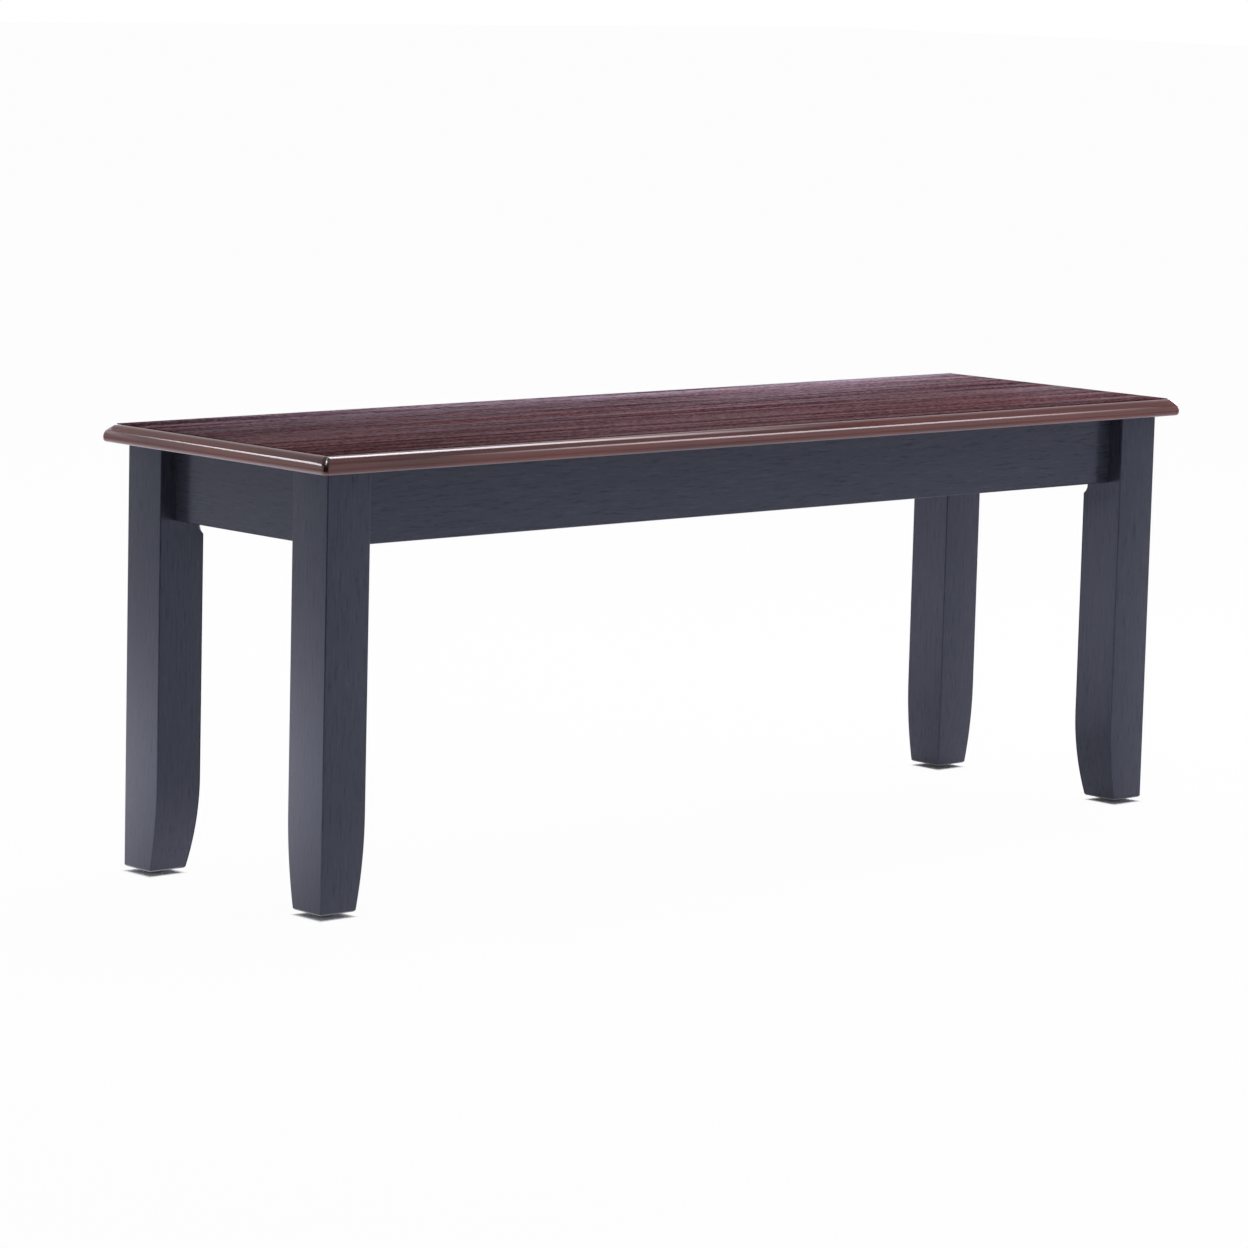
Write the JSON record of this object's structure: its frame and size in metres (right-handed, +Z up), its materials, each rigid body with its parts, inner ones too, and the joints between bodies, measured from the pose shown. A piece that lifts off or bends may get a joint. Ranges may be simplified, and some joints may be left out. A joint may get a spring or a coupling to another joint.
{
  "type": "dining bench",
  "caption": "Long dining bench: veneered seat with a mitred rounded edge moulding on a black framed base with square legs curved in at the foot.",
  "frame": {"origin": "centre of the footprint on the floor", "axes": "+X along the bench's length to its right, +Y to its rear, +Z up"},
  "size_m": [1.22, 0.358, 0.455],
  "materials": {
    "seat_veneer": "dark red-brown veneer, streaky lengthwise grain, satin lacquer",
    "moulding_wood": "brown stained solid wood under glossy lacquer",
    "black_lacquer": "black open-pore lacquer on wood, satin sheen",
    "bare_wood": "unfinished sawn wood",
    "core_board": "board faced with plain veneer",
    "steel": "zinc-plated steel",
    "brassed_screw": "yellow-passivated steel screws",
    "nylon": "dark grey nylon"
  },
  "bodies": {
    "root": {"seat_core": "core_board", "seat_face_veneer": "seat_veneer", "seat_back_veneer": "core_board", "moulding_front": "moulding_wood", "moulding_rear": "moulding_wood", "moulding_left": "moulding_wood", "moulding_right": "moulding_wood", "apron_front": "black_lacquer", "apron_rear": "black_lacquer", "apron_left": "black_lacquer", "apron_right": "black_lacquer", "leg_front_left": "black_lacquer", "leg_front_right": "black_lacquer", "leg_rear_left": "black_lacquer", "leg_rear_right": "black_lacquer", "block_front_left": "bare_wood", "block_front_right": "bare_wood", "block_rear_left": "bare_wood", "block_rear_right": "bare_wood", "cross_rail": "bare_wood", "glide_front_left": "nylon", "glide_front_right": "nylon", "glide_rear_left": "nylon", "glide_rear_right": "nylon", "glide_nails": "steel", "hanger_bolts": "steel", "bolt_washers": "steel", "bolt_nuts": "steel", "block_screws": "brassed_screw", "seat_screws": "brassed_screw", "rail_end_screws": "brassed_screw"}
  },
  "joints": []
}
